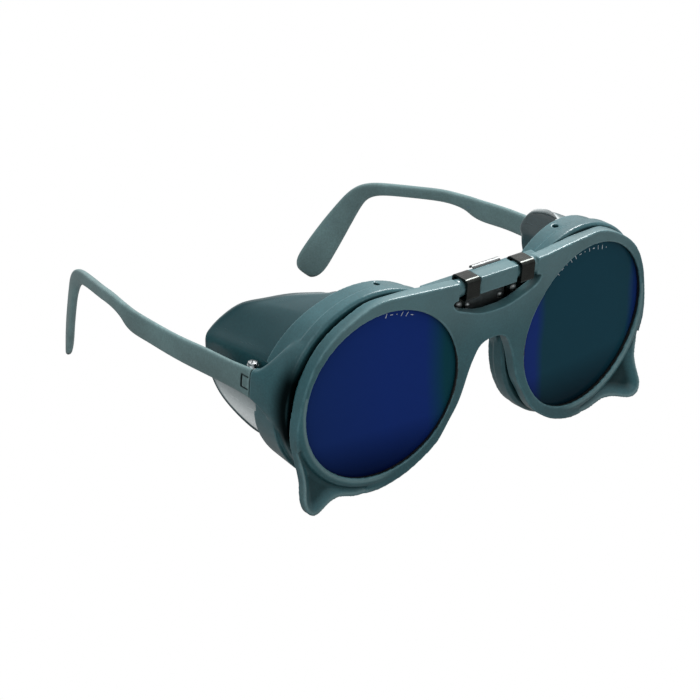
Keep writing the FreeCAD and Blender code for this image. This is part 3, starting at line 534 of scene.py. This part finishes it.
def flip_relief():
    """A bead round each opening, a groove outside it, and dished lower ears with a lip, with painted
    shade in the dishes and groove and painted light on the face, the lip and the bead.
    """
    local = design_points(flip)
    moved = local.copy()
    painted_shade = np.zeros(len(local))
    # painted light: the front face grows paler towards the top
    painted_light = 0.16 * rise(local[:, 2], 4.0, 24.0) * fall(local[:, 1], 1.0, 3.0)
    for sign, _ in SIDES:
        across, depth, radius, angle = polar(local, sign)
        z = local[:, 2]
        near = (sign * local[:, 0] > 4) & (radius < 48)
        outline = wing_outline(across, z, radius, angle, near)
        lower = near & (angle > -110) & (angle < 12) & (depth < 2.2) & (radius > 23.5)
        rim = path_distance(np.stack([across[lower], z[lower]], 1), outline)
        radius, angle, depth = radius[lower], angle[lower], depth[lower]
        # masks: the front face, the ear's span of angle, and the ear outside the groove
        face = fall(depth, 0.9, 2.0)
        ear = window(angle, -92, -76, -26, -12)
        outer_ear = ear * rise(radius, 27.0, 28.6)
        # positive moves back, into the body
        move = (-BEAD_HEIGHT * hump(radius, BEAD_RADIUS, RING_WIDTH)
                * window(angle, -108, -88, -8, 8))
        move += GROOVE_DEPTH * hump(radius, GROOVE_RADIUS, RING_WIDTH) * ear
        move += outer_ear * (DISH_DEPTH * rise(rim, 1.0, 3.8) - LIP_HEIGHT * hump(rim, 0.9, 0.6))
        moved[lower] += (move * face)[:, None] * np.array([-sign * WRAP_SIN, WRAP_COS, 0.0])
        # shadow in the dish, stronger on the left, and in the groove
        dish = (0.55 + 0.2 * (sign > 0)) * rise(rim, 1.4, 4.0) * (1 - 0.5 * rise(rim, 6.0, 9.0))
        shade = dish * outer_ear + 0.40 * hump(radius, GROOVE_RADIUS, 0.6) * ear
        painted_shade[lower] = np.maximum(painted_shade[lower], shade * face)
        # painted highlight lines on the lip and on the bead's inner side
        lines = 0.34 * hump(rim, 0.75, 0.45) * window(angle, -100, -80, -30, -16)
        lines += 0.30 * hump(radius, 24.7, 0.45) * rise(angle, -108, -88)
        painted_light[lower] = np.maximum(painted_light[lower], lines * face)
    move_vertices(flip.data, (moved @ np.array(ROT).T + np.array(SHIFT)) / 1000.0)
    paint(flip, "painted_shade", painted_shade)
    paint(flip, "painted_light", painted_light)


def paint_wall_shade():
    """Painted shade: a black line on the wall of each lens opening, where the wall lies in shadow.
    """
    flip.data.materials.append(black_for_rings_and_wall_shade)
    centres = to_design(vectors(flip.data.polygons, "center"))
    slots = np.zeros(len(centres), int)
    for sign, _ in SIDES:
        _, depth, radius, _ = polar(centres, sign)
        slots[(radius > 22.5) & (radius < 24.28) & (depth > 0.45) & (depth < 4.0)] = 1
    flip.data.polygons.foreach_set("material_index", slots)
    flip.data.update()


def rear_shadows():
    x, y, z = design_points(rear).T
    out = np.abs(x)
    # the throats between the hinge arms and the flip frame
    depth = y - 0.35 * (out - 58.0)
    throat = (0.96 * rise(out, 53.0, 57.0) * window(depth, 5.3, 5.9, 6.4, 10.8)
              * window(z, -16.0, -8.0, 7.0, 17.0))
    # painted shade in a patch at the front of the upper middle, darker on the left
    patch = ((0.55 + 0.42 * rise(x, 0.0, 8.0)) * fall(out, 15.0, 17.0)
             * window(z, 10.5, 12.5, 21.5, 23.0) * fall(y, 5.0, 6.5))
    paint(rear, "painted_shade", np.maximum(throat, patch))


flip_relief()
paint_wall_shade()
rear_shadows()

# ------------------------------------------------------------------ temples
# painted shade along the bracket-shaped groove beside the hinge: (y, z)
BRACKET = np.array([(20.6, 0.95), (23.0, 0.95), (23.0, 4.5), (20.6, 4.5)])
TEMPLE_OUTSIDE = 61.4   # x beyond which the painted groove shade shows

for sign, side in SIDES:
    temple = moulded("temple_" + side, 5, side + "_arm", temple_nylon)
    local = design_points(temple)
    line = path_distance(local[:, 1:], BRACKET)
    paint(temple, "painted_shade", 0.95 * fall(line, 0.10, 0.30) * (sign * local[:, 0] > TEMPLE_OUTSIDE))

# ------------------------------------------------------------------ side shields
# rear rim from top to bottom: x, y, z, and the angle about the lens axis where its row starts
SHIELD_ROWS = [
    (37.5, 14.2, 24.35, 97), (42.5, 20.8, 22.4, 82), (46.5, 27.4, 20.4, 70),
    (50.0, 33.6, 17.5, 58), (52.6, 39.8, 14.1, 46), (54.6, 44.8, 8.7, 34),
    (56.4, 47.2, 3.9, 22), (57.6, 46.7, -1.2, 10), (57.9, 44.0, -6.6, -2),
    (57.3, 40.0, -11.4, -14), (56.0, 34.0, -15.2, -26), (54.3, 27.8, -17.8, -37),
    (51.7, 23.4, -18.6, -47)]
ROW_COUNT, COLUMN_COUNT = 97, 41
FRONT_RADIUS = 24.6
FRONT_DEPTHS = (11.0, 13.2)         # the short collar that each row starts with
BOW, BOW_SPAN = 0.6, 22.0           # outward bow, less on rows shorter than the span
SHEET, RIM_BEAD = 0.55, 0.42        # thickness, and swelling of each face at the rear rim
CREASE = np.array([(60.6, 18.0, 9.3), (56.6, 46.4, 2.2)])   # upper panel meets side panel
CREASE_PUSH = np.array([0.55, 0, 0.45])
SHIELD_CENTRE = np.array([36.0, 25.0, 0.0])
DROP_X, DROP_Y, DROP_HALF = 43.1, 24.1, 1.5   # painted dark drop on the left shield, shade standing in for its vent opening, half length in x


def shield_surface(rows):
    grid = []
    for *rim, angle in rows:
        angle = math.radians(angle)
        collar, start = (np.array(wing(1, FRONT_RADIUS * math.cos(angle), depth,
                                       FRONT_RADIUS * math.sin(angle))) for depth in FRONT_DEPTHS)
        rim = np.array(rim)
        span = rim - start
        out = np.array([start[0] - SHIELD_CENTRE[0], 0, start[2]])
        out /= np.linalg.norm(out)
        bow = BOW * min(1.0, np.linalg.norm(span) / BOW_SPAN)
        middle = [start + span * k + out * (bow * 4 * k * (1 - k)) for k in (0.33, 0.66)]
        grid.append(catmull([collar, start, *middle, rim], COLUMN_COUNT))
    grid = np.array(grid)
    run = CREASE[1] - CREASE[0]
    along = np.clip((grid - CREASE[0]) @ run / (run @ run), 0, 1)
    off = grid - (CREASE[0] + run * along[..., None])
    weight = hump(np.hypot(off[..., 0], off[..., 2]), 0.0, 2.2)
    weight *= np.clip((grid[..., 1] - 14.0) / 8.0, 0, 1)
    return grid + CREASE_PUSH * weight[..., None]


def shield_normals(grid):
    normals = np.cross(np.gradient(grid, axis=0), np.gradient(grid, axis=1))
    normals /= np.linalg.norm(normals, axis=2, keepdims=True) + 1e-12
    facing = ((grid - SHIELD_CENTRE) * normals * np.array([1, 0, 1])).sum(axis=2)
    return normals * np.where(facing < 0, -1, 1)[..., None]


def shield_faces():
    """Outer and inner skins, then the closing strips along the columns' and rows' ends."""
    def at(i, j, skin=0):
        return (skin * ROW_COUNT + i) * COLUMN_COUNT + j

    faces = []
    for i in range(ROW_COUNT - 1):
        for j in range(COLUMN_COUNT - 1):
            faces.append((at(i, j), at(i, j + 1), at(i + 1, j + 1), at(i + 1, j)))
            faces.append((at(i, j, 1), at(i + 1, j, 1), at(i + 1, j + 1, 1), at(i, j + 1, 1)))
    for i in range(ROW_COUNT - 1):
        for j in (0, COLUMN_COUNT - 1):
            faces.append((at(i, j), at(i + 1, j), at(i + 1, j, 1), at(i, j, 1)))
    for j in range(COLUMN_COUNT - 1):
        for i in (0, ROW_COUNT - 1):
            faces.append((at(i, j), at(i, j + 1), at(i, j + 1, 1), at(i, j, 1)))
    return faces


def paint_shield(shield, sign, edge):
    local = design_points(shield) * np.array([sign, 1, 1])
    x, y, z = local.T
    is_left = sign > 0
    rim = path_distance(local, edge)
    low = fall(z, -13.0, 1.5)
    # painted highlight along the upper rim line, stronger on the left; painted reflection of the
    # floor on the lower panel inside its rim; faint painted light on the upper left
    painted_light = (0.22 + 0.3 * is_left) * (1 - low) * fall(rim, 0.2, 0.9)
    painted_light += (low * (0.62 + 0.38 * fall(z, -15.0, -7.0))
             * rise(x, 49.0, 54.0) * rise(rim, 0.9, 1.5))
    painted_light += 0.07 * is_left * rise(z, 0.0, 8.0)
    paint(shield, "painted_light", painted_light)
    # painted shade: a dark drop on the left shield standing in for its vent opening, and a darker
    # line along the lower rim
    along = (x - DROP_X) / DROP_HALF
    drop = np.hypot(along, (y - DROP_Y) / (0.75 + 0.3 * np.clip(along, -1, 1)))
    painted_shade = np.maximum(fall(drop, 0.8, 1.1) * is_left, 0.35 * low * hump(rim, 0.5, 0.35))
    paint(shield, "painted_shade", painted_shade)


def make_shield(sign, side):
    rows = catmull(SHIELD_ROWS, ROW_COUNT)
    grid = shield_surface(rows)
    normals = shield_normals(grid)
    bead = RIM_BEAD * hump(np.arange(COLUMN_COUNT), COLUMN_COUNT - 1, 1.6)[None, :, None]
    skins = np.array([grid + normals * bead, grid - normals * (SHEET + bead)])
    verts = [to_scene((sign * x, y, z)) for x, y, z in skins.reshape(-1, 3)]
    shield = mesh_object("shield_shell_" + side, verts, shield_faces())
    assign(shield, sheet)
    bm = bmesh.new()
    bm.from_mesh(shield.data)
    bmesh.ops.recalc_face_normals(bm, faces=bm.faces)
    bm.to_mesh(shield.data)
    bm.free()
    subdivision = shield.modifiers.new("sub", "SUBSURF")
    subdivision.levels = subdivision.render_levels = 1
    bake(shield)
    shade_smooth(shield)
    shield.data.set_sharp_from_angle(angle=math.radians(50.0))
    paint_shield(shield, sign, rows[:, :3])
    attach(shield, "root")
    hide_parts("side_shield_" + side)
    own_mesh(shield)


for sign, side in SIDES:
    make_shield(sign, side)

# ------------------------------------------------------------------ CAD pieces
# by name, without the side
CAD_MATERIALS = {
    "hinge_bracket": plated_steel, "detent_leaf": leaf_steel, "hinge_rivets": rivet_steel,
    "clear_lens": clear, "clear_lens_ring": black_for_rings_and_wall_shade, "hinge_strap": strap_steel,
    "front_hinge_leaf": plated_steel, "temple_hinge_leaf": plated_steel,
    "temple_screw": screw_steel, "tinted_lens": tinted_glass, "tinted_lens_ring": black_for_rings_and_wall_shade,
    "temple": temple_nylon, "side_shield": sheet, "flip_frame": flip_nylon,
    "rear_frame": rear_nylon}
for name, piece in nodes.items():
    assign(piece, CAD_MATERIALS[name.removesuffix("_right").removesuffix("_left")])
    shade_smooth(piece)

# ------------------------------------------------------------------ etched marks
# by side: first and last angle about the lens axis, count, radius
MARK_ARCS = {"right": (89.7, 111.3, 6, 22.4), "left": (122.9, 69.3, 12, 22.0)}
MARK_KINDS = ("tick", "dash", "dot", "tick", "tick", "dash",
              "dot", "tick", "dash", "tick", "tick", "dot")
MARK_HALF_SIZES = {"tick": (0.10, 0.62), "dash": (0.42, 0.11)}   # along the arc, radially
MARK_SLANT = 0.3
DOT_RADIUS = 0.17
MARK_DEPTH = 1.5 - 0.012   # just in front of the filter's face


def mark_shape(kind):
    """Corners of one mark: along the arc, radially."""
    if kind == "dot":
        return [(DOT_RADIUS * math.cos(w), DOT_RADIUS * math.sin(w))
                for w in np.linspace(0, 2 * math.pi, 12, endpoint=False)]
    width, height = MARK_HALF_SIZES[kind]
    return [(x * width + MARK_SLANT * y * height, y * height)
            for x, y in ((-1, -1), (1, -1), (1, 1), (-1, 1))]


def etched_marks(sign, side):
    """Plain ticks, dashes and dots along the filter's upper edge. They spell nothing."""
    verts, faces = [], []
    first, last, count, radius = MARK_ARCS[side]
    for angle, kind in zip(np.radians(np.linspace(first, last, count)), MARK_KINDS):
        radial = np.array([math.cos(angle), math.sin(angle)])
        tangent = np.array([-math.sin(angle), math.cos(angle)])
        start = len(verts)
        for along, out in mark_shape(kind):
            across, z = radius * radial + tangent * along + radial * out
            verts.append(to_scene(wing(sign, across, MARK_DEPTH, z)))
        faces.append(tuple(range(start, len(verts))))
    marks = mesh_object("etched_marks_" + side, verts, faces)
    assign(marks, mark_white)
    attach(marks, "flip_front")


for sign, side in SIDES:
    etched_marks(sign, side)

# ------------------------------------------------------------------ camera
# place and directions in the design frame
eye = to_scene((-524.6, -515.8, 385.5))
right = ROT @ Vector((0.758, -0.649, 0.0696)).normalized()
ahead = ROT @ Vector((0.600, 0.651, -0.465)).normalized()
right = (right - ahead * right.dot(ahead)).normalized()
up = right.cross(ahead)
camera = bpy.data.objects.new("camera", bpy.data.cameras.new("camera"))
scene.collection.objects.link(camera)
camera.matrix_world = Matrix((*zip(right, up, -ahead, eye), (0, 0, 0, 1)))
camera.data.lens = 161.31
camera.data.sensor_width = 36.0
camera.data.clip_start = 0.01
camera.data.clip_end = 50.0
scene.camera = camera
scene.view_settings.view_transform = "Standard"

# ------------------------------------------------------------------ floor
FLOOR_HALF, FLOOR_Z = 6, -0.0004   # metres


def floor_material():
    """Grey for diffuse light, dim glow in reflections, pure white when seen."""
    material, sh = new_material("floor")
    grey = sh.ramp(sh.noise(sh.coords(), scale=6.0), (0.3, 0.30), (0.7, 0.34))
    sh.feed(sh.main, {"Roughness": 0.9, "Base Color": grey})
    rays = sh.add("LightPath").outputs
    seen = sh.seen(rays)
    glow = sh.add("Emission", {"Strength": sh.calc("MULTIPLY_ADD", seen, 0.67, 0.33)})
    glows = sh.calc("MAXIMUM", seen, rays["Is Glossy Ray"])
    surface = sh.add("MixShader", {0: glows, 1: sh.main.outputs[0], 2: glow.outputs[0]})
    sh.feed(sh.tree.nodes["Material Output"], {"Surface": surface.outputs[0]})
    return material


floor = mesh_object("floor", [(x * FLOOR_HALF, y * FLOOR_HALF, FLOOR_Z)
                              for x, y in ((-1, -1), (1, -1), (1, 1), (-1, 1))], [(0, 1, 2, 3)])
assign(floor, floor_material())


# ------------------------------------------------------------------ world and lights
def studio_world():
    """A sky brighter upwards and a bright wall opposite the camera; white when seen."""
    world = bpy.data.worlds.new("studio")
    scene.world = world
    sh = Shader(world, main="Background")
    axes = sh.add("SeparateXYZ", {0: sh.coords("Generated")}).outputs
    height = sh.calc("MULTIPLY_ADD", axes[2], 0.5, 0.5, clamp=True)
    sky = sh.ramp(height, (0.0, (0.10, 0.11, 0.12)), (0.47, (0.18, 0.19, 0.20)),
                  (0.56, (0.26, 0.28, 0.29)), (0.75, (0.60, 0.62, 0.63)), (1.0, 0.95))
    rays = sh.add("LightPath").outputs
    behind = sh.calc("ADD", sh.calc("MULTIPLY", axes[0], 0.68), sh.calc("MULTIPLY", axes[1], 0.73))
    # the wall is full in reflections and faint for other light
    strength = sh.calc("ADD", rays["Is Glossy Ray"], 0.15, clamp=True)
    wall = sh.calc("MULTIPLY", sh.ramp(behind, (0.35, 0.0), (0.85, 1.0)), strength)
    lighting = sh.mix(sky, (0.95,) * 3, wall)
    sh.feed(sh.main, {"Color": sh.mix(lighting, (1.0,) * 3, sh.seen(rays)), "Strength": 1.0})


# name, position, target height over the origin, size, power, colour
LIGHTS = [
    ("key_top", (0.10, 0.45, 0.95), 0.02, (0.9, 0.7), 1.0, (1, 1, 1)),
    ("edge_strip", (0.55, 0.14, 0.71), 0.03, (0.30, 0.30), 8.0, (1, 1, 1)),
    ("fill_left", (-0.9, -0.35, 0.45), 0.02, (0.5, 0.6), 1.4, (0.92, 0.98, 1.0)),
    ("fill_front", (0.25, -1.1, 0.35), 0.02, (0.7, 0.4), 1.2, (0.95, 0.99, 1.0))]

studio_world()
for name, position, target_z, size, power, colour in LIGHTS:
    light = bpy.data.lights.new(name, "AREA")
    light.shape = "RECTANGLE"
    light.size, light.size_y = size
    light.energy = power
    light.color = colour
    lamp = bpy.data.objects.new(name, light)
    scene.collection.objects.link(lamp)
    lamp.location = position
    lamp.rotation_mode = "QUATERNION"
    aim = Vector((0, 0, target_z)) - Vector(position)
    lamp.rotation_quaternion = aim.to_track_quat("-Z", "Y")
